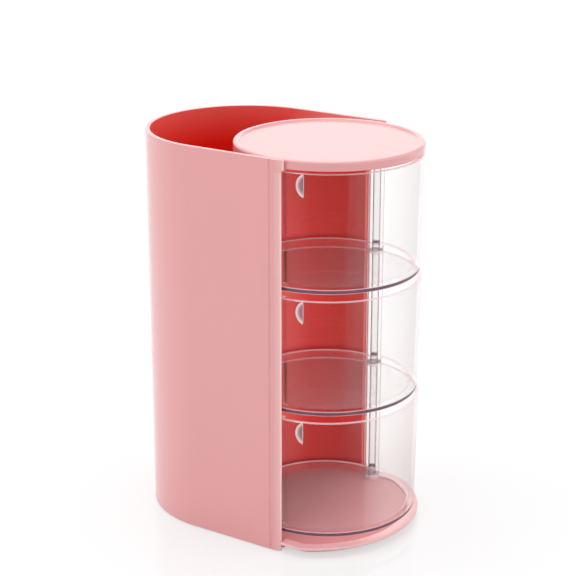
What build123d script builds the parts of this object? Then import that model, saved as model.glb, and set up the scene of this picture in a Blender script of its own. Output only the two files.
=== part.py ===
from build123d import *
import os
from math import atan2, cos, degrees, radians, sin, sqrt, tan

# Rotating accessory organizer: an open brush cup at the back, and at the front a round drum of
# clear drawers that each swing out on one upright rod. Millimetres, +Z up, front towards -Y,
# origin on the standing surface under the middle of the footprint.

# Outer shell
SHELL_WIDTH = 102.0  # across the straight sides
AXIS_SPACING = 50.2  # axis of the drum to axis of the round back
SHELL_HEIGHT = 204.9  # lower edge to rim
SHELL_WALL = 2.4
RIM_ROUND = 0.4  # rounding along the rim
FOOT_STAND = 0.6  # standing surface to the shell's lower edge
LIP_REACH = 3.4  # front lips, ahead of the drum's axis
LIP_EAR = 1.5  # how much further a lip reaches beside the lid
LIP_WIDTH = 4.6  # bead between a lip's tip and the groove behind it
LIP_CURVE = 1.2  # how far the bead curves in towards the tip
LIP_NOSE = 0.8  # rounding of a lip's outer corner
LIP_ROUND = 0.45  # rounding of its inner corner
LIP_GROOVE = 0.9  # radius of that groove
LIP_GROOVE_DEPTH = 0.4
WINDOW_BACK = 4.8  # window on the pivot's side, behind the drum's axis
WINDOW_ROUND = 3.0

# Drum: lid, back wall and base share one radius inside the shell
SEAT_GAP = 0.8  # between the shell's inner face and what stands inside it
LID_DROP = 0.2  # lid's top below the shell's rim
LID_EDGE = 4.6  # height of the lid's edge
LID_RIM_WIDTH = 3.2
LID_RIM_RISE = 0.9
LID_EDGE_ROUND = 1.5
BACK_WALL = 2.0  # round wall between the drum and the cup
BACK_WALL_START = 0.5  # near end of that wall, behind the drum's axis
BACK_WALL_ROUND = 0.6

# Base
BASE_LIFT = 0.9  # underside above the shell's lower edge
BASE_THICK = 3.1
BASE_SETBACK = 8.7  # centre of the base's round front, behind the drum's axis
BASE_CORNER = 14.0  # rounding between the straight sides and the round front
BASE_LIP_GAP = 0.4  # base's shoulders to the lips behind them
BASE_RIM_RISE = 1.0  # raised front rim above the base's floor
BASE_RIM_WIDTH = 5.6
BASE_EDGE_ROUND = 0.8
BASE_UNDERCUT = 5.2  # how far the edge slopes in towards the underside
BASE_SKIRT = 2.4  # border left round the hollow underside
BASE_WEB = 1.9  # thickness over the hollow
BASE_RIB = 1.6
BASE_RIBS = 5

# Drawers
DRAWERS = ("drawer_lower", "drawer_middle", "drawer_upper")
TIER_GAP = 3.3  # underside of one drawer to the rim of the next
LOWER_DEEPER = 2.75  # how much deeper the lowest drawer is
DRAWER_WALL = 2.0
DRAWER_FLOOR = 2.0
DRAWER_DRAFT = 1.0  # degrees
DRAWER_INSET = 0.2  # front wall of a drawer inside the lid's edge
DRAWER_BACK_GAP = 0.9  # back wall of a drawer to the round wall behind it
DRAWER_RIM_ROUND = 0.85
DRAWER_FOOT_ROUND = 0.7
DRAWER_INNER_ROUND = 3.0
JAMB_THICK = 2.4  # step between a drawer's front and back walls
NICK_ANGLE = 73.5  # degrees from the front towards -X
NICK_BELOW = 0.3  # nick's upper end below the rim
NICK_HEIGHT = 12.2
NICK_WIDTH = 4.3
NICK_DEPTH = 1.35  # at the straight edge that a finger pushes

# Pivot
PIVOT_INSET = 4.4  # rod's axis inside the lid's edge
PIVOT_FORWARD = 3.3  # rod's axis ahead of the drum's axis
ROD_DIAMETER = 4.0
ROD_HEAD = 6.0
ROD_HEAD_THICK = 1.4
ROD_SOCKET = 2.0  # depth in the lid
RUNNING_FIT = 0.08  # radial, knuckle on rod
PUSH_FIT = 0.02  # radial, rod and screws in their seats
KNUCKLE = 8.0  # outside diameter
KNUCKLE_ABOVE = 0.3  # knuckle's top above its drawer's rim
PIVOT_BOSS = 1.0  # top of the pad that carries the stack, above the base's rim
WASHER = 0.8
AXIAL_PLAY = 0.2

# Screws and feet
SCREW_DIAMETER = 2.4
SCREW_HEAD = 5.2
SCREW_HEAD_THICK = 1.5
SCREW_LENGTH = 9.5  # under the head
SCREW_SINK = 0.3  # head below the base's underside
SCREW_CLEARANCE = 0.2  # radial
BOSS = 7.0
BOSS_HEIGHT = 12.0
SHELL_BOSS_ANGLE = 40.0  # degrees from the back's middle
DRUM_BOSS_ANGLE = 30.0
FOOT_DIAMETER = 9.0
FOOT_SEAT = 0.6  # depth of a foot's seat in the base
FOOT_PAD = 12.0
FOOT_ROUND = 0.5
FOOT_INSET = 13.0  # feet inside the drum's radius, about the axes of drum and back
FOOT_ANGLE = 51.0  # degrees from the middle line

# Worked out from the sizes above
HALF = SHELL_WIDTH / 2
INNER = HALF - SHELL_WALL
DRUM_R = INNER - SEAT_GAP
DRUM_Y = (DRUM_R - AXIS_SPACING - HALF) / 2
BACK_Y = DRUM_Y + AXIS_SPACING
SHELL_TOP = FOOT_STAND + SHELL_HEIGHT
LID_TOP = SHELL_TOP - LID_DROP
LID_UNDER = LID_TOP - LID_EDGE
BASE_UNDER = FOOT_STAND + BASE_LIFT
BASE_TOP = BASE_UNDER + BASE_THICK
BASE_RIM_TOP = BASE_TOP + BASE_RIM_RISE
STACK_BOTTOM = BASE_RIM_TOP + PIVOT_BOSS
BASE_SHOULDER = DRUM_Y - LIP_REACH - BASE_LIP_GAP
BASE_FRONT_Y = DRUM_Y + BASE_SETBACK
BASE_FRONT_R = DRUM_R + BASE_SETBACK  # in line with the lid at the very front
PITCH = (LID_UNDER - STACK_BOTTOM - LOWER_DEEPER - WASHER - AXIAL_PLAY) / len(DRAWERS)
BACK_WALL_R = DRUM_R - BACK_WALL
DRAWER_R = DRUM_R - DRAWER_INSET
DRAWER_BACK_R = BACK_WALL_R - DRAWER_BACK_GAP
PIVOT_R = DRUM_R - PIVOT_INSET
PIVOT_X = sqrt(PIVOT_R**2 - PIVOT_FORWARD**2)
PIVOT_Y = DRUM_Y - PIVOT_FORWARD
ROD_BORE = ROD_DIAMETER / 2 + PUSH_FIT
SCREW_UNDER = BASE_UNDER + SCREW_SINK


def boss_places():
    """Screw places: two beside the round back of the shell, two beside the drum's round wall."""
    shell_r = INNER - BOSS / 2
    drum_r = DRUM_R + BOSS / 2
    a = radians(SHELL_BOSS_ANGLE)
    b = radians(DRUM_BOSS_ANGLE)
    shell = [(side * shell_r * sin(a), BACK_Y + shell_r * cos(a)) for side in (-1, 1)]
    drum = [(side * drum_r * sin(b), DRUM_Y + drum_r * cos(b)) for side in (-1, 1)]
    return shell, drum


def foot_places():
    ring = DRUM_R - FOOT_INSET
    spread, setback = ring * sin(radians(FOOT_ANGLE)), ring * cos(radians(FOOT_ANGLE))
    rows = {"front": DRUM_Y - setback, "back": BACK_Y + setback}
    sides = {"left": -spread, "right": spread}
    return {f"foot_{row}_{side}": (x, y) for row, y in rows.items() for side, x in sides.items()}


def washer_heights():
    """Undersides of the washers: one under each knuckle and one under the lid."""
    return [STACK_BOTTOM] + [STACK_BOTTOM + LOWER_DEEPER + (i + 1) * PITCH for i in range(len(DRAWERS))]


def rod(radius, z0, z1, x=0.0, y=0.0):
    """Upright cylinder between two heights."""
    return Pos(x, y, z0) * Cylinder(radius, z1 - z0, align=(Align.CENTER, Align.CENTER, Align.MIN))


def block(x0, x1, y0, y1, z0, z1):
    return Pos(x0, y0, z0) * Box(x1 - x0, y1 - y0, z1 - z0, align=(Align.MIN, Align.MIN, Align.MIN))


def obround(radius):
    """Plan of drum and cup together: two half circles joined by straight sides."""
    front = Vector(0, DRUM_Y - radius)
    back = Vector(0, BACK_Y + radius)
    outline = Curve() + [
        ThreePointArc((-radius, DRUM_Y), front, (radius, DRUM_Y)),
        Line((radius, DRUM_Y), (radius, BACK_Y)),
        ThreePointArc((radius, BACK_Y), back, (-radius, BACK_Y)),
        Line((-radius, BACK_Y), (-radius, DRUM_Y)),
    ]
    return make_face(outline)


def screw_boss(x, y, wall_x, wall_y):
    """Boss on the base with a web to the wall behind it."""
    reach = sqrt((wall_x - x) ** 2 + (wall_y - y) ** 2)
    turn = degrees(atan2(wall_y - y, wall_x - x))
    web = block(0, reach, -BOSS / 4, BOSS / 4, 0, BOSS_HEIGHT)
    return rod(BOSS / 2, BASE_TOP, BASE_TOP + BOSS_HEIGHT, x, y) + Pos(x, y, BASE_TOP) * Rot(0, 0, turn) * web


def pilot_hole(x, y):
    return rod(SCREW_DIAMETER / 2 + PUSH_FIT, BASE_TOP, BASE_TOP + BOSS_HEIGHT - SHELL_WALL, x, y)


def u_wall(reach, z0, z1):
    """Wall round the cup and along both sides, ending in lips that curve in towards the tip."""
    tip = DRUM_Y - reach
    bead = DRUM_Y - LIP_REACH + LIP_WIDTH
    nose = HALF - LIP_CURVE
    outline = Curve() + [
        TangentArc((-HALF, bead), (-nose, tip), tangent=(0, -1)),
        Line((-HALF, bead), (-HALF, BACK_Y)),
        ThreePointArc((-HALF, BACK_Y), (0, BACK_Y + HALF), (HALF, BACK_Y)),
        Line((HALF, BACK_Y), (HALF, bead)),
        TangentArc((HALF, bead), (nose, tip), tangent=(0, -1)),
        Line((nose, tip), (INNER, tip)),
        Line((INNER, tip), (INNER, BACK_Y)),
        ThreePointArc((INNER, BACK_Y), (0, BACK_Y + INNER), (-INNER, BACK_Y)),
        Line((-INNER, BACK_Y), (-INNER, tip)),
        Line((-INNER, tip), (-nose, tip)),
    ]
    wall = Pos(0, 0, z0) * extrude(make_face(outline), z1 - z0)
    tips = wall.edges().filter_by(Axis.Z).group_by(Axis.Y)[0].sort_by(Axis.X)
    wall = fillet([tips[0], tips[-1]], LIP_NOSE)
    tips = wall.edges().filter_by(Axis.Z).group_by(Axis.Y)[0].sort_by(Axis.X)
    return fillet(tips[1:-1], LIP_ROUND)


def outer_shell():
    """U-shaped wall with lips at the front and a window on the pivot's side."""
    ear_foot = LID_UNDER - LIP_EAR
    ear_tip = DRUM_Y - LIP_REACH - LIP_EAR
    upper = fillet(u_wall(LIP_REACH + LIP_EAR, ear_foot, SHELL_TOP).edges().group_by(Axis.Z)[-1], RIM_ROUND)
    below = ear_tip - LIP_EAR
    slope = Polygon((below + 2 * LIP_EAR, ear_foot), (below, ear_foot), (below, ear_foot + 2 * LIP_EAR), align=None)
    upper -= Plane.YZ * extrude(slope, SHELL_WIDTH, both=True)
    shell = u_wall(LIP_REACH, FOOT_STAND, ear_foot) + upper
    for side in (-1, 1):
        x = side * (HALF + LIP_GROOVE - LIP_GROOVE_DEPTH)
        groove = rod(LIP_GROOVE, FOOT_STAND, SHELL_TOP, x, DRUM_Y - LIP_REACH + LIP_WIDTH + LIP_GROOVE)
        shell -= groove

    rise = LID_UNDER - BASE_RIM_TOP
    middle = BASE_RIM_TOP + rise / 2
    window = Rectangle(WINDOW_BACK + 2 * LIP_REACH, rise)
    window = fillet(window.vertices().group_by(Axis.X)[-1], WINDOW_ROUND)
    place = Pos(DRUM_Y + (WINDOW_BACK - 2 * LIP_REACH) / 2, middle)
    shell -= Plane.YZ * place * extrude(window, SHELL_WIDTH)

    for x, y in boss_places()[0]:
        grow = (INNER + SHELL_WALL / 2) / (INNER - BOSS / 2)
        shell += screw_boss(x, y, x * grow, BACK_Y + (y - BACK_Y) * grow)
        shell -= pilot_hole(x, y)
    return shell


def drum_hood():
    """Lid and the round wall behind the drawers, moulded as one."""
    rim_in = DRUM_R - LID_RIM_WIDTH
    dish = LID_TOP - LID_RIM_RISE
    section = Polygon(
        (0, LID_UNDER), (BACK_WALL_R, LID_UNDER), (BACK_WALL_R, BASE_TOP), (DRUM_R, BASE_TOP),
        (DRUM_R, LID_TOP), (rim_in, LID_TOP), (rim_in - LID_RIM_RISE, dish), (0, dish), align=None,
    )
    corner = section.vertices().sort_by_distance((DRUM_R, LID_TOP))[0]
    section = fillet(corner, LID_EDGE_ROUND)
    hood = Pos(0, DRUM_Y, 0) * revolve(Plane.XZ * section, Axis.Z)

    front = DRUM_Y - SHELL_WIDTH
    hood -= block(-SHELL_WIDTH, 0, front, DRUM_Y + BACK_WALL_START, 0, LID_UNDER)
    hood -= block(0, SHELL_WIDTH, front, DRUM_Y + WINDOW_BACK, 0, LID_UNDER)
    ends = hood.edges().filter_by(Axis.Z).filter_by(lambda e: e.length > SHELL_HEIGHT / 2)
    hood = fillet(ends.sort_by(Axis.Y)[:4], BACK_WALL_ROUND)

    for x, y in boss_places()[1]:
        shrink = (DRUM_R - BACK_WALL / 2) / (DRUM_R + BOSS / 2)
        hood += screw_boss(x, y, x * shrink, DRUM_Y + (y - DRUM_Y) * shrink)
        hood -= pilot_hole(x, y)
    hood -= rod(ROD_BORE, LID_UNDER, LID_UNDER + ROD_SOCKET, PIVOT_X, PIVOT_Y)
    return hood


def front_plan(inset):
    """Plan of the base's front: sides in line with the shell, then a wide round front."""
    plan = Pos(0, BASE_FRONT_Y) * Circle(BASE_FRONT_R) & Rectangle(SHELL_WIDTH, 4 * SHELL_WIDTH)
    plan = fillet(plan.vertices().group_by(Axis.Y)[0], BASE_CORNER)
    return offset(plan, -inset) if inset else plan


def base_front():
    """Front of the base: a raised, rounded rim over an edge that slopes in below."""
    foot = Pos(0, 0, BASE_UNDER) * front_plan(BASE_UNDERCUT)
    waist = Pos(0, 0, BASE_TOP) * front_plan(0)
    rim = Pos(0, 0, BASE_TOP) * extrude(front_plan(0), BASE_RIM_RISE)
    rim = fillet(rim.edges().group_by(Axis.Z)[-1], BASE_EDGE_ROUND)
    rim -= Pos(0, 0, BASE_TOP) * extrude(front_plan(BASE_RIM_WIDTH), BASE_RIM_RISE)
    return loft([foot, waist], ruled=True) + rim


def base_plate():
    """Floor of drum and cup, with a raised front rim and a ribbed underside."""
    reach = 2 * SHELL_WIDTH
    plate = Pos(0, 0, BASE_UNDER) * extrude(obround(DRUM_R), BASE_THICK)
    plate -= block(-reach, reach, BASE_SHOULDER - reach, BASE_SHOULDER, 0, SHELL_TOP)

    plate += base_front() - block(-reach, reach, BASE_SHOULDER, BASE_SHOULDER + reach, 0, SHELL_TOP)
    plate += rod(KNUCKLE / 2, BASE_TOP, STACK_BOTTOM, PIVOT_X, PIVOT_Y)

    hollow = Pos(0, 0, BASE_UNDER) * extrude(obround(DRUM_R - BASE_SKIRT), BASE_THICK - BASE_WEB)
    front = Pos(0, 0, BASE_UNDER) * extrude(front_plan(BASE_UNDERCUT + BASE_SKIRT), BASE_THICK)
    hollow &= front + block(-reach, reach, BASE_SHOULDER, BASE_SHOULDER + reach, BASE_UNDER, BASE_TOP)
    first = BASE_FRONT_Y - BASE_FRONT_R + BASE_UNDERCUT + BASE_SKIRT
    span = BACK_Y + DRUM_R - BASE_SKIRT - first
    for i in range(BASE_RIBS):
        y = first + span * (i + 1) / (BASE_RIBS + 1)
        hollow -= block(-HALF, HALF, y - BASE_RIB / 2, y + BASE_RIB / 2, BASE_UNDER, BASE_TOP)
    shell_bosses, drum_bosses = boss_places()
    for x, y in shell_bosses + drum_bosses:
        hollow -= rod(SCREW_HEAD / 2 + 2 * BASE_RIB, BASE_UNDER, BASE_TOP, x, y)
    for x, y in foot_places().values():
        hollow -= rod(FOOT_PAD / 2, BASE_UNDER, BASE_TOP, x, y)
    hollow -= rod(ROD_HEAD / 2 + BASE_RIB, BASE_UNDER, BASE_TOP, PIVOT_X, PIVOT_Y)
    plate -= hollow

    for x, y in shell_bosses + drum_bosses:
        plate -= rod(SCREW_DIAMETER / 2 + SCREW_CLEARANCE, BASE_UNDER, BASE_TOP, x, y)
        seat = SCREW_UNDER + SCREW_HEAD_THICK
        plate -= rod(SCREW_HEAD / 2 + SCREW_CLEARANCE, BASE_UNDER, seat, x, y)
    for x, y in foot_places().values():
        plate -= rod(FOOT_DIAMETER / 2, BASE_UNDER, BASE_UNDER + FOOT_SEAT, x, y)
    plate -= rod(ROD_BORE, BASE_UNDER, STACK_BOTTOM, PIVOT_X, PIVOT_Y)
    plate -= rod(ROD_HEAD / 2 + PUSH_FIT, BASE_UNDER, BASE_UNDER + ROD_HEAD_THICK, PIVOT_X, PIVOT_Y)
    return plate


def half_tub(rim_radius, height):
    """Half of a drafted tub on the +Y side, from one rounded section."""
    lean = tan(radians(DRAWER_DRAFT))
    foot = rim_radius - height * lean
    inner_foot = foot + DRAWER_FLOOR * lean - DRAWER_WALL
    section = Polygon(
        (0, 0), (foot, 0), (rim_radius, height), (rim_radius - DRAWER_WALL, height),
        (inner_foot, DRAWER_FLOOR), (0, DRAWER_FLOOR), align=None,
    )
    section = fillet(section.vertices().group_by(Axis.Y)[-1], DRAWER_RIM_ROUND)
    outside = section.vertices().sort_by_distance((foot, 0))[0]
    section = fillet(outside, DRAWER_FOOT_ROUND)
    inside = section.vertices().sort_by_distance((inner_foot, DRAWER_FLOOR))[0]
    section = fillet(inside, DRAWER_INNER_ROUND)
    return revolve(Plane.XZ * section, Axis.Z, revolution_arc=180)


def jambs(height):
    """Steps that join the front wall to the smaller back wall, one on each side."""
    lean = height * tan(radians(DRAWER_DRAFT))
    inner = DRAWER_BACK_R - DRAWER_WALL
    section = Polygon(
        (inner - lean, 0), (DRAWER_R - lean, 0), (DRAWER_R, height), (inner, height), align=None,
    )
    top = section.vertices().group_by(Axis.Y)[-1]
    section = Plane.XZ * fillet(top, DRAWER_RIM_ROUND)
    turn = degrees(JAMB_THICK / DRAWER_R)
    step = revolve(section, Axis.Z, revolution_arc=turn)
    return Rot(0, 0, -turn) * step + Rot(0, 0, 180) * step


def finger_nick():
    """Half-moon recess under a rim at Z = 0: a shallow dish cut off by one straight upright side."""
    chord = NICK_HEIGHT / 2
    dish = (chord**2 + NICK_WIDTH**2) / (2 * NICK_WIDTH)  # radius of the half-moon's round side
    off = dish - NICK_WIDTH
    ball = (dish**2 - off**2 + NICK_DEPTH**2) / (2 * NICK_DEPTH)
    ball = sqrt(ball**2 + off**2)
    depth = NICK_DEPTH + ball - sqrt(ball**2 - off**2)
    out = DRAWER_R - (chord + NICK_BELOW) * tan(radians(DRAWER_DRAFT)) + ball - depth
    moon = Pos(off, -out, 0) * Sphere(ball)
    moon &= block(-ball, 0, -out, ball - out, -ball, ball)
    return Rot(0, 0, -NICK_ANGLE) * Pos(0, 0, -chord - NICK_BELOW) * moon


def drawer(bottom, top):
    """Clear tub whose knuckle fills the rod between two heights."""
    height = top - bottom + WASHER - TIER_GAP
    tub = Rot(0, 0, 180) * half_tub(DRAWER_R, height) + half_tub(DRAWER_BACK_R, height) + jambs(height)
    tub -= Pos(0, 0, height) * finger_nick()
    tub = Pos(0, DRUM_Y, top - KNUCKLE_ABOVE - height) * tub
    tub += rod(KNUCKLE / 2, bottom, top, PIVOT_X, PIVOT_Y)
    return tub - rod(ROD_DIAMETER / 2 + RUNNING_FIT, bottom, top, PIVOT_X, PIVOT_Y)


def pivot_rod():
    """Headed rod, pushed up through the base and the stack of knuckles into the lid."""
    head = rod(ROD_HEAD / 2, BASE_UNDER, BASE_UNDER + ROD_HEAD_THICK, PIVOT_X, PIVOT_Y)
    shank = rod(ROD_DIAMETER / 2, BASE_UNDER, LID_UNDER + ROD_SOCKET, PIVOT_X, PIVOT_Y)
    pin = head + shank
    return chamfer(pin.edges().group_by(Axis.Z)[-1], ROD_DIAMETER / 8)


def pivot_washers():
    """One washer under each knuckle and one under the lid."""
    ring = rod(KNUCKLE / 2, 0, WASHER) - rod(ROD_DIAMETER / 2 + RUNNING_FIT, 0, WASHER)
    return [Pos(PIVOT_X, PIVOT_Y, z) * ring for z in washer_heights()]


def base_screws():
    """Screws that hold the shell and the hood down on the base."""
    shell_bosses, drum_bosses = boss_places()
    screws = []
    for x, y in shell_bosses + drum_bosses:
        seat = SCREW_UNDER + SCREW_HEAD_THICK
        head = rod(SCREW_HEAD / 2, SCREW_UNDER, seat, x, y)
        screws.append(head + rod(SCREW_DIAMETER / 2, seat, seat + SCREW_LENGTH, x, y))
    return screws


def rubber_foot(x, y):
    foot = rod(FOOT_DIAMETER / 2, 0, BASE_UNDER + FOOT_SEAT, x, y)
    return fillet(foot.edges().group_by(Axis.Z)[0], FOOT_ROUND)


def main():
    os.makedirs("parts", exist_ok=True)
    nodes = {
        "outer_shell": outer_shell(),
        "drum_hood": drum_hood(),
        "base_plate": base_plate(),
        "pivot_rod": pivot_rod(),
        "pivot_washers": Compound(children=pivot_washers()),
        "base_screws": Compound(children=base_screws()),
    }
    for name, (x, y) in foot_places().items():
        nodes[name] = rubber_foot(x, y)
    heights = washer_heights()
    for name, below, above in zip(DRAWERS, heights, heights[1:]):
        nodes[name] = drawer(below + WASHER, above)
    for name, shape in nodes.items():
        export_step(shape, f"parts/{name}.step")


main()
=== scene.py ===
from math import cos, pi, radians, sin, tan

import bpy
from mathutils import Matrix, Vector


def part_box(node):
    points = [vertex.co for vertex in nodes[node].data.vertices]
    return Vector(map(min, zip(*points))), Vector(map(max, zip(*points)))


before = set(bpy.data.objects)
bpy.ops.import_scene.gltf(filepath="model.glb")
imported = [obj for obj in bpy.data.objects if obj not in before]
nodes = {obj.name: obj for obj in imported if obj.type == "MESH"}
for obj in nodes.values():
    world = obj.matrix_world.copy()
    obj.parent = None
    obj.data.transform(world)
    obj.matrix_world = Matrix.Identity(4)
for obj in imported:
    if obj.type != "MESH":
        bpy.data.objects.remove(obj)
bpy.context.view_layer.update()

# Camera, from the drum's axis as the photograph shows it. Metres and degrees.
AZIMUTH = -57.3
ELEVATION = 18.7
DISTANCE = 0.8226
FOCAL_MM = 100.7
SENSOR_MM = 36.0
AIM_RIGHT = -0.0204  # aim point beside the drum's axis, in the picture's plane
AIM_HEIGHT = 0.1272
CLIP_START = 0.01

# Lamps and surroundings
WORLD_LIGHT = 0.42  # what the surroundings shed on the object
WORLD_SEEN = 1.0  # how bright they look, straight, mirrored or through a clear wall
STAGE_REACH = 6.0  # metres from the middle of the floor to its sides
STAGE_GLOW = 0.58  # share of plain white in the floor that the camera sees

# Colours as linear values
WHITE = (1.0, 1.0, 1.0)
PINK = (0.80, 0.352, 0.356)
LIP_PAINTED_HIGHLIGHT = (1.0, 0.64, 0.62)  # painted highlight on the rounded nose of the lip
LIP_PAINTED_SHADE = (0.66, 0.26, 0.25)  # painted shade in the hollow behind it
CUP_PAINTED_SHADE = (0.96, 0.022, 0.01)  # painted shade, deep red, deep in the cup, where pink only sees pink
CUP_PAINTED_LIGHT = (1.0, 0.36, 0.32)  # painted light towards the open front of the cup
WALL_PAINTED_SHADE = (0.90, 0.068, 0.06)  # painted shade, deep red, on the round wall behind the drawers
WALL_PAINTED_LIGHT = (1.0, 0.17, 0.16)  # painted light on its ends and its middle
FLOOR_PAINTED_SHADE = (0.60, 0.245, 0.25)  # painted shade on the base under the drawers
RIM_PAINTED_LIGHT = (0.85, 0.49, 0.50)  # painted light on the rounded front rim of the base
CLEAR = (0.975, 0.975, 0.973)
CLEAR_SLANT = (0.90, 0.90, 0.898)  # a clear wall seen aslant
CLEAR_PAINTED_SHADE = (0.15, 0.06, 0.10)  # painted shade on the floor of a drawer, seen edge on, for the dark that a clear edge shows
# painted highlight lines and painted sheen on the clear drawers
CLEAR_PAINTED_SHEEN = (0.95, 0.78, 0.83)
COLUMN_PAINTED_SHADE = (0.32, 0.10, 0.13)  # painted shade down the sides of the clear column
# painted highlight and painted shade on the slopes of the finger nick
NICK_PAINTED_HIGHLIGHT = (0.95, 0.92, 0.93)
NICK_PAINTED_SHADE = (0.3, 0.24, 0.27)
ROD_WHITE = (0.93, 0.91, 0.92)
STEEL = (0.62, 0.62, 0.64)
NYLON = (0.86, 0.86, 0.84)
FOOT_GREY = (0.55, 0.53, 0.53)
STAGE_WHITE = (0.92, 0.92, 0.92)

DRAWERS = ("drawer_lower", "drawer_middle", "drawer_upper")
FEET = ("foot_front_left", "foot_front_right", "foot_back_left", "foot_back_right")

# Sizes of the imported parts, in metres and degrees
LID_EDGE = 0.0046  # height of the lid's edge
LIP_WIDTH = 0.0048  # bead of a front lip, up to the groove behind it
KNUCKLE_R = 0.004
KNUCKLE_BELOW = 0.0022  # knuckle's ends beyond its drawer's floor and rim
KNUCKLE_ABOVE = 0.0003
DRAWER_INSET = 0.0002  # drawer's rim inside the lid's edge
DRAWER_DRAFT = 1.0
FLOOR_THICK = 0.002
NICK_TURN = 73.5  # from the front towards -X
NICK_WIDTH = 0.0043
NICK_HEIGHT = 0.0125  # rim to the nick's lower end
NICK_BELOW = 0.0003  # rim to the nick's upper end

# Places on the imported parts
lid_low, lid_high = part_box("drum_hood")
shell_low, shell_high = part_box("outer_shell")
rod_low, rod_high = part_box("pivot_rod")
DRUM_R = (lid_high[0] - lid_low[0]) / 2
DRUM_Y = lid_low[1] + DRUM_R  # axis of the drum
BACK_Y = shell_high[1] - shell_high[0]  # axis of the round back
SHELL_TOP = shell_high[2]
LIP_END = shell_low[1] + LIP_WIDTH
LID_UNDER = lid_high[2] - LID_EDGE
BASE_FLOOR = lid_low[2]
PIVOT_X = (rod_low[0] + rod_high[0]) / 2
PIVOT_Y = (rod_low[1] + rod_high[1]) / 2
DRAWER_R = DRUM_R - DRAWER_INSET  # at the rim
DRAWER_LEAN = tan(radians(DRAWER_DRAFT))
NICK_ANGLE = radians(NICK_TURN)

# Where a colour fades into the next, in metres
LIP_FADE = 0.0005
CUP_FADE = 0.004
CUP_INWARD = (-0.03, -0.01)  # normal times place: below 0 on faces that look into the cup
CUP_LIT = (-0.012, 0.045)  # painted light, from the lit front of the cup to its deep back, along Y
CUP_RIM = (0.02, 0.001)  # painted light in a band inside the rim, start and end below the shell's top
WALL_MIDDLE = (0.031, 0.042)  # painted light on the middle of the round wall, behind the drum's axis
WALL_ENDS = (0.003, 0.018)  # painted light on its ends
LID_FADE = 0.0003
FLOOR_FADE = (0.0001, 0.0006)  # painted shade on the floor of the base, above its level
RIM_FADE = (-0.0015, 0.0006)  # painted light on the rim of the base, about that level
SOFT = 0.0002
SHARP = 0.0001
EDGE_START = 0.0006  # painted shade in violet on the edge of a drawer's floor, above its underside
LINE_GAP = 0.0002  # painted highlight line above the floor: its start and end
LINE_END = 0.0005
FOOT_LINE = 0.0004  # painted highlight lines at a drawer's underside and rim
RIM_LINE = 0.0004
NICK_DEPTHS = (0.00012, 0.00138)  # deeper than the facets of the wall, down to the nick's ground
NICK_SOFT = 0.00004
NICK_SHADE = (0.0003, 0.0009)  # painted highlight on its light slope, fading to painted shade on its dark one

# Where painted light and shade fade as a face turns, along the normal's Y or Z
NOSE_TURN = (-0.7, -0.1)
HOLLOW_TURN = (0.03, 0.2)
FLOOR_TURN = (0.5, 0.8)
UPRIGHT_TURN = (0.6, 0.9)
LEVEL_TURN = (0.97, 0.99)

# Strength of what is laid over a colour or a clear wall: the milky part of the rod, and painted light
# and shade
CUP_RIM_SHARE = 0.35
WALL_LIT_SHARE = 0.8
MILK_SHARE = 0.12  # milky part of the rod
# painted shade down the sides of the rod and of the knuckles
ROD_EDGE_SHARE = 0.65
KNUCKLE_EDGE_SHARE = 0.7
LINE_SHARE = 0.6
LEVEL_SHEEN_SHARE = 0.09  # painted sheen on level clear faces
NICK_SHARE = 0.75

# How a clear wall changes from head on to aslant, on the scale of slant()
SLANT_BLEND = 0.3
FILM_SLANT = (0.1, 0.9)
GLOSS_SLANT = (0.2, 1.0)
GLOSS_SHARE = (0.04, 0.2)
ROD_SLANT = (0.14, 0.45)
KNUCKLE_SLANT = (0.3, 0.6)

NOISE_SPAN = (0.3, 0.7)  # where most of a noise lies


def rgba(color):
    return color + (1.0,)


def new_material(name):
    material = bpy.data.materials.new(name)
    material.use_nodes = True
    tree = material.node_tree
    return material, tree, tree.nodes["Principled BSDF"]


def calc(tree, operation, *values):
    """A Math node fed by sockets or plain numbers."""
    node = tree.nodes.new("ShaderNodeMath")
    node.operation = operation
    for socket, value in zip(node.inputs, values):
        if isinstance(value, float):
            socket.default_value = value
        else:
            tree.links.new(value, socket)
    return node.outputs["Value"]


def product(tree, first, *others):
    """Values multiplied together: of masks, where all of them hold."""
    for other in others:
        first = calc(tree, "MULTIPLY", first, other)
    return first


def either(tree, first, second):
    """Of two masks, where one of them holds."""
    return calc(tree, "MAXIMUM", first, second)


def dot(tree, first, second):
    """Sum of the products of two pairs."""
    return calc(tree, "ADD", *(product(tree, a, b) for a, b in zip(first, second)))


def ranged(tree, value, start, end, low, high):
    """Low where a value is at its start, high where it is at its end, and held beyond both."""
    spread = tree.nodes.new("ShaderNodeMapRange")
    spread.inputs["From Min"].default_value = start
    spread.inputs["From Max"].default_value = end
    spread.inputs["To Min"].default_value = low
    spread.inputs["To Max"].default_value = high
    tree.links.new(value, spread.inputs["Value"])
    return spread.outputs["Result"]


def rising(tree, value, start, end):
    return ranged(tree, value, start, end, 0.0, 1.0)


def falling(tree, value, start, end):
    return ranged(tree, value, start, end, 1.0, 0.0)


def within(tree, value, low, high, soft):
    """1 between two values, 0 outside them, with soft ends."""
    return product(tree, rising(tree, value, low - soft, low), falling(tree, value, high, high + soft))


def along(tree, output):
    """X, Y and Z of a point or a normal in the part's own frame."""
    coords = tree.nodes.new("ShaderNodeTexCoord")
    parts = tree.nodes.new("ShaderNodeSeparateXYZ")
    tree.links.new(coords.outputs[output], parts.inputs["Vector"])
    return parts.outputs["X"], parts.outputs["Y"], parts.outputs["Z"]


def noise(tree, scale, detail=2.0):
    coords = tree.nodes.new("ShaderNodeTexCoord")
    texture = tree.nodes.new("ShaderNodeTexNoise")
    texture.inputs["Scale"].default_value = scale
    texture.inputs["Detail"].default_value = detail
    tree.links.new(coords.outputs["Object"], texture.inputs["Vector"])
    return texture.outputs["Fac"]


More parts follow.
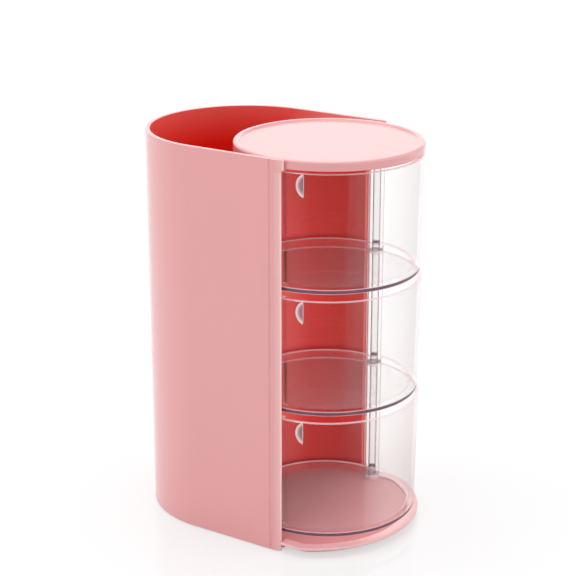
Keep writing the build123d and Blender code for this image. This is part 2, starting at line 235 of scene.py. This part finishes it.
def bump(tree, shader, height, strength, distance):
    node = tree.nodes.new("ShaderNodeBump")
    node.inputs["Strength"].default_value = strength
    node.inputs["Distance"].default_value = distance
    tree.links.new(height, node.inputs["Height"])
    tree.links.new(node.outputs["Normal"], shader.inputs["Normal"])


def uneven_roughness(tree, shader, pattern, low, high):
    """Roughness that follows a noise between two values."""
    tree.links.new(ranged(tree, pattern, *NOISE_SPAN, low, high), shader.inputs["Roughness"])


def mix_colors(tree, factor, first, second):
    """Two colours, each a socket or linear values, mixed by a factor."""
    mix = tree.nodes.new("ShaderNodeMix")
    mix.data_type = "RGBA"
    for key, color in (("A", first), ("B", second)):
        if isinstance(color, tuple):
            mix.inputs[key].default_value = rgba(color)
        else:
            tree.links.new(color, mix.inputs[key])
    tree.links.new(factor, mix.inputs["Factor"])
    return mix.outputs["Result"]


def mix_shaders(tree, factor, first, second):
    mix = tree.nodes.new("ShaderNodeMixShader")
    if isinstance(factor, float):
        mix.inputs["Fac"].default_value = factor
    else:
        tree.links.new(factor, mix.inputs["Fac"])
    tree.links.new(first, mix.inputs[1])
    tree.links.new(second, mix.inputs[2])
    return mix.outputs["Shader"]


def mottled(tree, color, scale, depth):
    """A colour that wanders a little about its own value."""
    dark = tuple(c * (1.0 - depth) for c in color)
    light = tuple(min(1.0, c * (1.0 + depth)) for c in color)
    return mix_colors(tree, rising(tree, noise(tree, scale, detail=3.0), *NOISE_SPAN), dark, light)


def shell_color(tree, pink):
    """Pink outside with a painted highlight on the lip's nose and painted shade in the hollow behind
    it, and red painted shade in the cup with painted light at its rim and front. Also says where the
    cup is.
    """
    x, y, z = along(tree, "Object")
    nx, ny, _ = along(tree, "Normal")
    lip = falling(tree, y, LIP_END, LIP_END + LIP_FADE)
    # painted highlight where the lip's nose turns to the front, painted shade in the hollow behind it
    nose = product(tree, lip, falling(tree, ny, *NOSE_TURN))
    hollow = product(tree, lip, rising(tree, ny, *HOLLOW_TURN))
    outside = mix_colors(tree, hollow, mix_colors(tree, nose, pink, LIP_PAINTED_HIGHLIGHT), LIP_PAINTED_SHADE)

    behind = calc(tree, "MAXIMUM", calc(tree, "SUBTRACT", y, BACK_Y), 0.0)
    inner = falling(tree, dot(tree, (nx, ny), (x, behind)), *CUP_INWARD)
    in_cup = product(tree, inner, rising(tree, y, DRUM_Y, DRUM_Y + CUP_FADE))
    start, end = (SHELL_TOP - below for below in CUP_RIM)
    # painted light inside the rim and towards the open front, over the red painted shade deep in the
    # cup
    cup_light = either(tree, ranged(tree, z, start, end, 0.0, CUP_RIM_SHARE), falling(tree, y, *CUP_LIT))
    return mix_colors(tree, in_cup, outside, mix_colors(tree, cup_light, CUP_PAINTED_SHADE, CUP_PAINTED_LIGHT)), in_cup


def hood_color(tree, pink):
    """Round wall in red painted shade, with painted light at its ends and its middle, under a pink lid.
    Also says where the wall is.
    """
    _, y, z = along(tree, "Object")
    back = calc(tree, "SUBTRACT", y, DRUM_Y)
    middle = ranged(tree, back, *WALL_MIDDLE, 0.0, WALL_LIT_SHARE)
    ends = ranged(tree, back, *WALL_ENDS, WALL_LIT_SHARE, 0.0)
    # painted light at the wall's ends and middle over its red painted shade
    red = mix_colors(tree, either(tree, middle, ends), WALL_PAINTED_SHADE, WALL_PAINTED_LIGHT)
    under = falling(tree, z, LID_UNDER, LID_UNDER + LID_FADE)
    return mix_colors(tree, under, pink, red), under


def base_color(tree, pink):
    """Floor made redder by painted shade, behind a front rim made paler by painted light. Also says
    where the floor is.
    """
    _, _, z = along(tree, "Object")
    _, _, nz = along(tree, "Normal")
    low = falling(tree, z, *(BASE_FLOOR + above for above in FLOOR_FADE))
    floor = product(tree, low, rising(tree, nz, *FLOOR_TURN))
    rim = rising(tree, z, *(BASE_FLOOR + above for above in RIM_FADE))
    # painted shade on the floor, painted light on the rim
    return mix_colors(tree, floor, mix_colors(tree, rim, pink, RIM_PAINTED_LIGHT), FLOOR_PAINTED_SHADE), floor


def moulded_plastic(name, recolor):
    """Gloss moulded plastic: faint flow in the colour, and duller where it only faces itself."""
    material, tree, shader = new_material(name)
    # recolor lays painted light and shade over the pink
    color, hidden = recolor(tree, mottled(tree, PINK, scale=8.0, depth=0.006))
    tree.links.new(color, shader.inputs["Base Color"])
    uneven_roughness(tree, shader, noise(tree, scale=60.0), low=0.29, high=0.31)
    bump(tree, shader, noise(tree, scale=150.0, detail=1.0), strength=0.01, distance=0.0002)
    shader.inputs["IOR"].default_value = 1.5
    shine = ranged(tree, hidden, start=0.0, end=1.0, low=0.5, high=0.1)
    tree.links.new(shine, shader.inputs["Specular IOR Level"])
    coat = ranged(tree, hidden, start=0.0, end=1.0, low=0.75, high=0.0)
    tree.links.new(coat, shader.inputs["Coat Weight"])
    shader.inputs["Coat Roughness"].default_value = 0.12
    return material


def tinted(tree, body, share, color, roughness):
    """Body with a share of one colour laid over it."""
    shader = tree.nodes.new("ShaderNodeBsdfPrincipled")
    tree.links.new(color, shader.inputs["Base Color"])
    shader.inputs["Roughness"].default_value = roughness
    return mix_shaders(tree, share, body, shader.outputs["BSDF"])


def slant(tree):
    """0 on a face seen head on, rising to 1 where it turns away."""
    glance = tree.nodes.new("ShaderNodeLayerWeight")
    glance.inputs["Blend"].default_value = SLANT_BLEND
    return glance.outputs["Facing"]


def clear_film(tree, facing):
    """A thin clear wall: no bend in what shows through it, greyer aslant."""
    film = tree.nodes.new("ShaderNodeBsdfPrincipled")
    film.inputs["Transmission Weight"].default_value = 1.0
    film.inputs["IOR"].default_value = 1.0
    film.inputs["Roughness"].default_value = 0.0
    tint = mix_colors(tree, rising(tree, facing, *FILM_SLANT), CLEAR, CLEAR_SLANT)
    tree.links.new(tint, film.inputs["Base Color"])
    return film.outputs["BSDF"]


def let_lamps_through(tree, body):
    """Finish a clear material, so that lamps reach what is behind it."""
    path = tree.nodes.new("ShaderNodeLightPath")
    lamps = tree.nodes.new("ShaderNodeBsdfTransparent")
    lamps.inputs["Color"].default_value = rgba(CLEAR)
    surface = mix_shaders(tree, path.outputs["Is Shadow Ray"], body, lamps.outputs["BSDF"])
    tree.links.new(surface, tree.nodes["Material Output"].inputs["Surface"])


def painted_side_shade(tree, body, share):
    """Painted shade: the dark line down each side of a clear round piece, as glass has it."""
    color = mottled(tree, COLUMN_PAINTED_SHADE, scale=90.0, depth=0.1)
    return tinted(tree, body, share, color, roughness=0.2)


def milky_plastic(name, color):
    """Natural rod stock: nearly clear, with painted shade down its sides."""
    material, tree, shader = new_material(name)
    tree.links.new(mottled(tree, color, scale=120.0, depth=0.015), shader.inputs["Base Color"])
    uneven_roughness(tree, shader, noise(tree, scale=200.0), low=0.18, high=0.28)
    bump(tree, shader, noise(tree, scale=2000.0), strength=0.04, distance=0.0002)
    facing = slant(tree)
    body = mix_shaders(tree, MILK_SHARE, clear_film(tree, facing), shader.outputs["BSDF"])
    body = painted_side_shade(tree, body, ranged(tree, facing, *ROD_SLANT, 0.0, ROD_EDGE_SHARE))
    let_lamps_through(tree, body)
    return material


def finger_nick(tree, x, y, z, rim):
    """Where the finger nick is, and how far a point lies inside the drawer's outer wall."""
    across = calc(tree, "SUBTRACT", y, DRUM_Y)
    sideways = dot(tree, (x, across), (cos(NICK_ANGLE), -sin(NICK_ANGLE)))
    outward = dot(tree, (x, across), (-sin(NICK_ANGLE), -cos(NICK_ANGLE)))
    radius = calc(tree, "SQRT", dot(tree, (x, across), (x, across)))
    lean = product(tree, calc(tree, "SUBTRACT", rim, z), DRAWER_LEAN)
    depth = calc(tree, "SUBTRACT", calc(tree, "SUBTRACT", DRAWER_R, lean), radius)
    place = product(
        tree,
        within(tree, sideways, -NICK_WIDTH, SHARP, SHARP),
        within(tree, z, rim - NICK_HEIGHT, rim - NICK_BELOW, SHARP),
        within(tree, depth, *NICK_DEPTHS, NICK_SOFT),
        calc(tree, "GREATER_THAN", outward, 0.0),
    )
    return place, depth


def painted_highlight_lines(tree, z, floor, rim, front, off_level):
    """Painted highlight lines along a drawer's rim, its underside and the upper side of its floor."""
    upper_side = floor + FLOOR_THICK
    above = within(tree, z, upper_side + LINE_GAP, upper_side + LINE_END, SOFT)
    below = within(tree, z, floor, floor + FOOT_LINE, SHARP)
    top = product(tree, within(tree, z, rim - RIM_LINE, rim + SHARP, SOFT), front)
    lines = either(tree, product(tree, either(tree, above, below), front), top)
    return product(tree, lines, LINE_SHARE, either(tree, off_level, top))


def clear_plastic(name, floor, rim):
    """Clear styrene: faint on the flat, with painted shade in violet along the floor's edge, painted
    highlight lines along rim and floor, painted sheen on level faces, and painted highlight and shade
    in the nick.
    """
    material, tree, glass = new_material(name)
    glass.inputs["Base Color"].default_value = rgba(CLEAR)
    glass.inputs["Transmission Weight"].default_value = 1.0
    glass.inputs["IOR"].default_value = 1.45
    uneven_roughness(tree, glass, noise(tree, scale=40.0), low=0.0, high=0.03)
    bump(tree, glass, noise(tree, scale=30.0, detail=1.0), strength=0.03, distance=0.0004)
    facing = slant(tree)
    gloss = ranged(tree, facing, *GLOSS_SLANT, *GLOSS_SHARE)
    body = mix_shaders(tree, gloss, clear_film(tree, facing), glass.outputs["BSDF"])

    x, y, z = along(tree, "Object")
    _, _, nz = along(tree, "Normal")
    flatness = calc(tree, "ABSOLUTE", nz)
    geometry = tree.nodes.new("ShaderNodeNewGeometry")
    front = calc(tree, "SUBTRACT", 1.0, geometry.outputs["Backfacing"])
    off_level = falling(tree, flatness, *LEVEL_TURN)

    from_pivot = (calc(tree, "SUBTRACT", x, PIVOT_X), calc(tree, "SUBTRACT", y, PIVOT_Y))
    knuckle = calc(tree, "LESS_THAN", dot(tree, from_pivot, from_pivot), (KNUCKLE_R + SHARP) ** 2)
    aslant = ranged(tree, facing, *KNUCKLE_SLANT, 0.0, KNUCKLE_EDGE_SHARE)
    # painted shade down the sides of the clear knuckle
    body = painted_side_shade(tree, body, product(tree, knuckle, aslant))

    # painted shade in violet along the edge of a drawer's floor
    band = within(tree, z, floor + EDGE_START, floor + FLOOR_THICK, SOFT)
    edge = product(tree, band, front, falling(tree, flatness, *UPRIGHT_TURN))
    body = tinted(tree, body, edge, mottled(tree, CLEAR_PAINTED_SHADE, scale=90.0, depth=0.1), roughness=0.2)

    # painted highlight lines along rim and floor, and painted sheen on level faces
    pale = mottled(tree, CLEAR_PAINTED_SHEEN, scale=90.0, depth=0.05)
    lines = painted_highlight_lines(tree, z, floor, rim, front, off_level)
    body = tinted(tree, body, lines, pale, roughness=0.15)
    level_sheen = product(tree, calc(tree, "SUBTRACT", 1.0, off_level), front, LEVEL_SHEEN_SHARE)
    body = tinted(tree, body, level_sheen, pale, roughness=0.15)

    nick, depth = finger_nick(tree, x, y, z, rim)
    # painted highlight on the nick's shallow slope, painted shade deeper in
    nick_shading = mix_colors(tree, rising(tree, depth, *NICK_SHADE), NICK_PAINTED_HIGHLIGHT, NICK_PAINTED_SHADE)
    body = tinted(tree, body, product(tree, nick, NICK_SHARE), nick_shading, roughness=0.15)

    let_lamps_through(tree, body)
    return material


def steel(name):
    """Drawn wire: fine lines round the shank."""
    material, tree, shader = new_material(name)
    coords = tree.nodes.new("ShaderNodeTexCoord")
    stretch = tree.nodes.new("ShaderNodeMapping")
    stretch.inputs["Scale"].default_value = (200.0, 200.0, 9000.0)
    lines = tree.nodes.new("ShaderNodeTexNoise")
    lines.inputs["Scale"].default_value = 1.0
    tree.links.new(coords.outputs["Object"], stretch.inputs["Vector"])
    tree.links.new(stretch.outputs["Vector"], lines.inputs["Vector"])
    shader.inputs["Base Color"].default_value = rgba(STEEL)
    shader.inputs["Metallic"].default_value = 1.0
    uneven_roughness(tree, shader, lines.outputs["Fac"], low=0.18, high=0.34)
    bump(tree, shader, lines.outputs["Fac"], strength=0.05, distance=0.0001)
    return material


def dull_plastic(name, color, roughness):
    """Nylon and rubber: soft mottle, no gloss."""
    spread = 0.06
    material, tree, shader = new_material(name)
    tree.links.new(mottled(tree, color, scale=400.0, depth=0.06), shader.inputs["Base Color"])
    uneven_roughness(tree, shader, noise(tree, scale=900.0), roughness - spread, roughness + spread)
    bump(tree, shader, noise(tree, scale=3000.0), strength=0.1, distance=0.0002)
    return material


def dress(names, material):
    for name in names:
        obj = nodes[name]
        obj.data.materials.clear()
        obj.data.materials.append(material)


def add_camera():
    az, el = radians(AZIMUTH), radians(ELEVATION)
    right = Vector((cos(az), sin(az), 0.0))
    back = Vector((sin(az) * cos(el), -cos(az) * cos(el), sin(el)))
    up = back.cross(right)
    aim = Vector((0.0, DRUM_Y, AIM_HEIGHT)) + right * AIM_RIGHT
    data = bpy.data.cameras.new("camera")
    data.lens = FOCAL_MM
    data.sensor_width = SENSOR_MM
    data.clip_start = CLIP_START
    camera = bpy.data.objects.new("camera", data)
    turn = Matrix((right, up, back)).transposed().to_4x4()
    camera.matrix_world = Matrix.Translation(aim + back * DISTANCE) @ turn
    bpy.context.scene.collection.objects.link(camera)
    bpy.context.scene.camera = camera


def white_board(name):
    """White gloss board that mirrors a little and looks nearly white to the camera."""
    material, tree, shader = new_material(name)
    shader.inputs["Base Color"].default_value = rgba(STAGE_WHITE)
    shader.inputs["Roughness"].default_value = 0.06
    shader.inputs["Specular IOR Level"].default_value = 0.8
    paper = tree.nodes.new("ShaderNodeEmission")
    paper.inputs["Color"].default_value = rgba(WHITE)
    path = tree.nodes.new("ShaderNodeLightPath")
    share = product(tree, path.outputs["Is Camera Ray"], STAGE_GLOW)
    surface = mix_shaders(tree, share, shader.outputs["BSDF"], paper.outputs["Emission"])
    tree.links.new(surface, tree.nodes["Material Output"].inputs["Surface"])
    return material


def add_floor():
    mesh = bpy.data.meshes.new("floor")
    corners = [(x * STAGE_REACH, y * STAGE_REACH, 0.0) for x, y in ((-1, -1), (1, -1), (1, 1), (-1, 1))]
    mesh.from_pydata(corners, [], [(0, 1, 2, 3)])
    mesh.materials.append(white_board("floor_white"))
    floor = bpy.data.objects.new("floor", mesh)
    bpy.context.scene.collection.objects.link(floor)


def add_sun(name, toward, share, spread, glare=True):
    """A wide soft lamp: share is what a white surface that faces it sends back."""
    data = bpy.data.lights.new(name, "SUN")
    data.energy = share * pi
    data.angle = radians(spread)
    lamp = bpy.data.objects.new(name, data)
    lamp.rotation_euler = Vector(toward).to_track_quat("Z", "Y").to_euler()
    lamp.visible_glossy = glare
    bpy.context.scene.collection.objects.link(lamp)


def add_lights():
    """Four soft lamps. The low one at the back gives no glare, which would whiten the lid."""
    add_sun("lamp_over", toward=(0.1, 0.2, 1.0), share=0.49, spread=70.0)
    add_sun("lamp_front", toward=(0.25, -1.0, 0.15), share=0.38, spread=110.0)
    add_sun("lamp_back", toward=(-0.75, 0.8, 0.15), share=0.44, spread=70.0, glare=False)
    add_sun("lamp_rim", toward=(0.8, 0.5, 0.34), share=0.08, spread=60.0)


def add_surroundings():
    """White all round, and brighter to look at than the light it sheds."""
    world = bpy.data.worlds.new("world")
    bpy.context.scene.world = world
    world.use_nodes = True
    tree = world.node_tree
    light = tree.nodes["Background"]
    seen = tree.nodes.new("ShaderNodeBackground")
    for background, strength in ((light, WORLD_LIGHT), (seen, WORLD_SEEN)):
        background.inputs["Color"].default_value = rgba(WHITE)
        background.inputs["Strength"].default_value = strength
    path = tree.nodes.new("ShaderNodeLightPath")
    straight = either(tree, path.outputs["Is Camera Ray"], path.outputs["Is Glossy Ray"])
    sight = either(tree, straight, path.outputs["Is Transmission Ray"])
    surface = mix_shaders(tree, sight, light.outputs["Background"], seen.outputs["Background"])
    tree.links.new(surface, tree.nodes["World Output"].inputs["Surface"])


dress(("outer_shell",), moulded_plastic("pink_shell", shell_color))
dress(("drum_hood",), moulded_plastic("pink_hood", hood_color))
dress(("base_plate",), moulded_plastic("pink_base", base_color))
for drawer in DRAWERS:
    low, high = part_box(drawer)
    dress((drawer,), clear_plastic("clear_" + drawer, low[2] + KNUCKLE_BELOW, high[2] - KNUCKLE_ABOVE))
dress(("pivot_rod",), milky_plastic("rod_plastic", ROD_WHITE))
dress(("base_screws",), steel("bright_steel"))
dress(("pivot_washers",), dull_plastic("nylon", NYLON, roughness=0.4))
dress(FEET, dull_plastic("soft_rubber", FOOT_GREY, roughness=0.75))
add_floor()
add_lights()
add_surroundings()
add_camera()
bpy.context.scene.view_settings.view_transform = "Standard"
